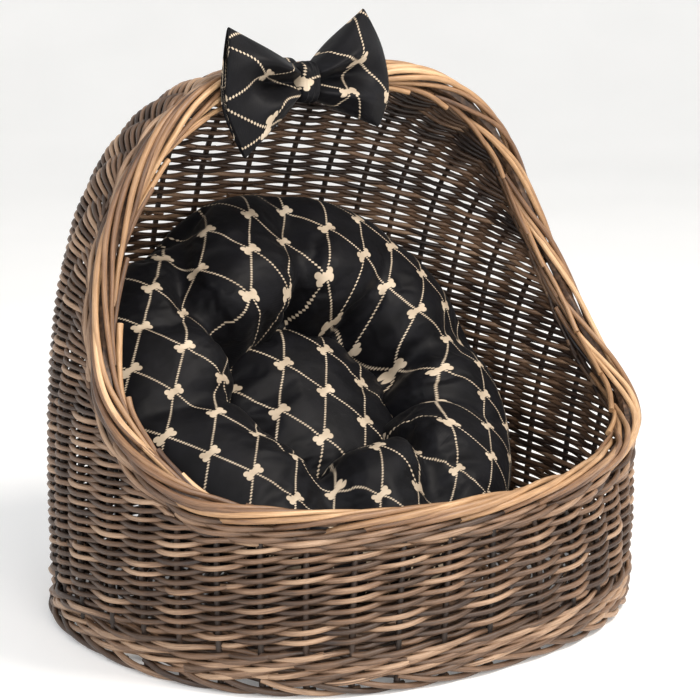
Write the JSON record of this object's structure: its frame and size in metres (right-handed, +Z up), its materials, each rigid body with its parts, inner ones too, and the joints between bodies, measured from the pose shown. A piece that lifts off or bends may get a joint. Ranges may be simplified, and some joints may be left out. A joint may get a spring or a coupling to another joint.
{
  "type": "hooded wicker pet bed",
  "caption": "Hooded willow pet basket with a low open front, a removable round ring cushion propped against the back and a stuffed fabric bow tied to the rim.",
  "frame": {"origin": "middle of the whole object's footprint, on the surface it stands on", "axes": "+Z up, the open front faces -Y, and +X is on the right of a person who stands at the open front and looks into the basket"},
  "size_m": [0.5904, 0.5035, 0.561],
  "materials": {
    "brown_willow": "stained dark brown willow rods, semi-matt, worn paler on the proud strokes",
    "pale_willow": "stained mid brown willow rods with tan streaks, semi-matt",
    "printed_cloth": "black satin-like woven cloth with a printed beige rope lattice and small bone motif",
    "fibre_filling": "white loose fibre filling"
  },
  "bodies": {
    "basket": {"base_long_sticks": "brown_willow", "base_cross_sticks": "brown_willow", "base_weave": "brown_willow", "foot_border": "brown_willow", "upsett_waling": "brown_willow", "side_weave": "brown_willow", "hood_weave": "brown_willow", "low_stakes": "brown_willow", "hood_stakes": "brown_willow", "top_waling": "brown_willow", "rim_core": "pale_willow", "rim_outer_strand": "pale_willow", "rim_top_strand": "pale_willow", "rim_inner_strand": "pale_willow", "bow_left_loop": "printed_cloth", "bow_right_loop": "printed_cloth", "bow_knot_band": "printed_cloth", "bow_tie_strap": "printed_cloth", "bow_left_wadding": "fibre_filling", "bow_right_wadding": "fibre_filling"},
    "cushion": {"cushion_ring_cover": "printed_cloth", "cushion_pad_cover": "printed_cloth", "cushion_under_panel": "printed_cloth", "cushion_seam_cord": "printed_cloth", "cushion_ring_filling": "fibre_filling", "cushion_pad_filling": "fibre_filling"}
  },
  "joints": [
    {"name": "cushion_lift", "type": "slide", "parent": "basket", "child": "cushion", "axis": [0, -0.5, 0.866], "range_m": [0, 0.1]}
  ]
}
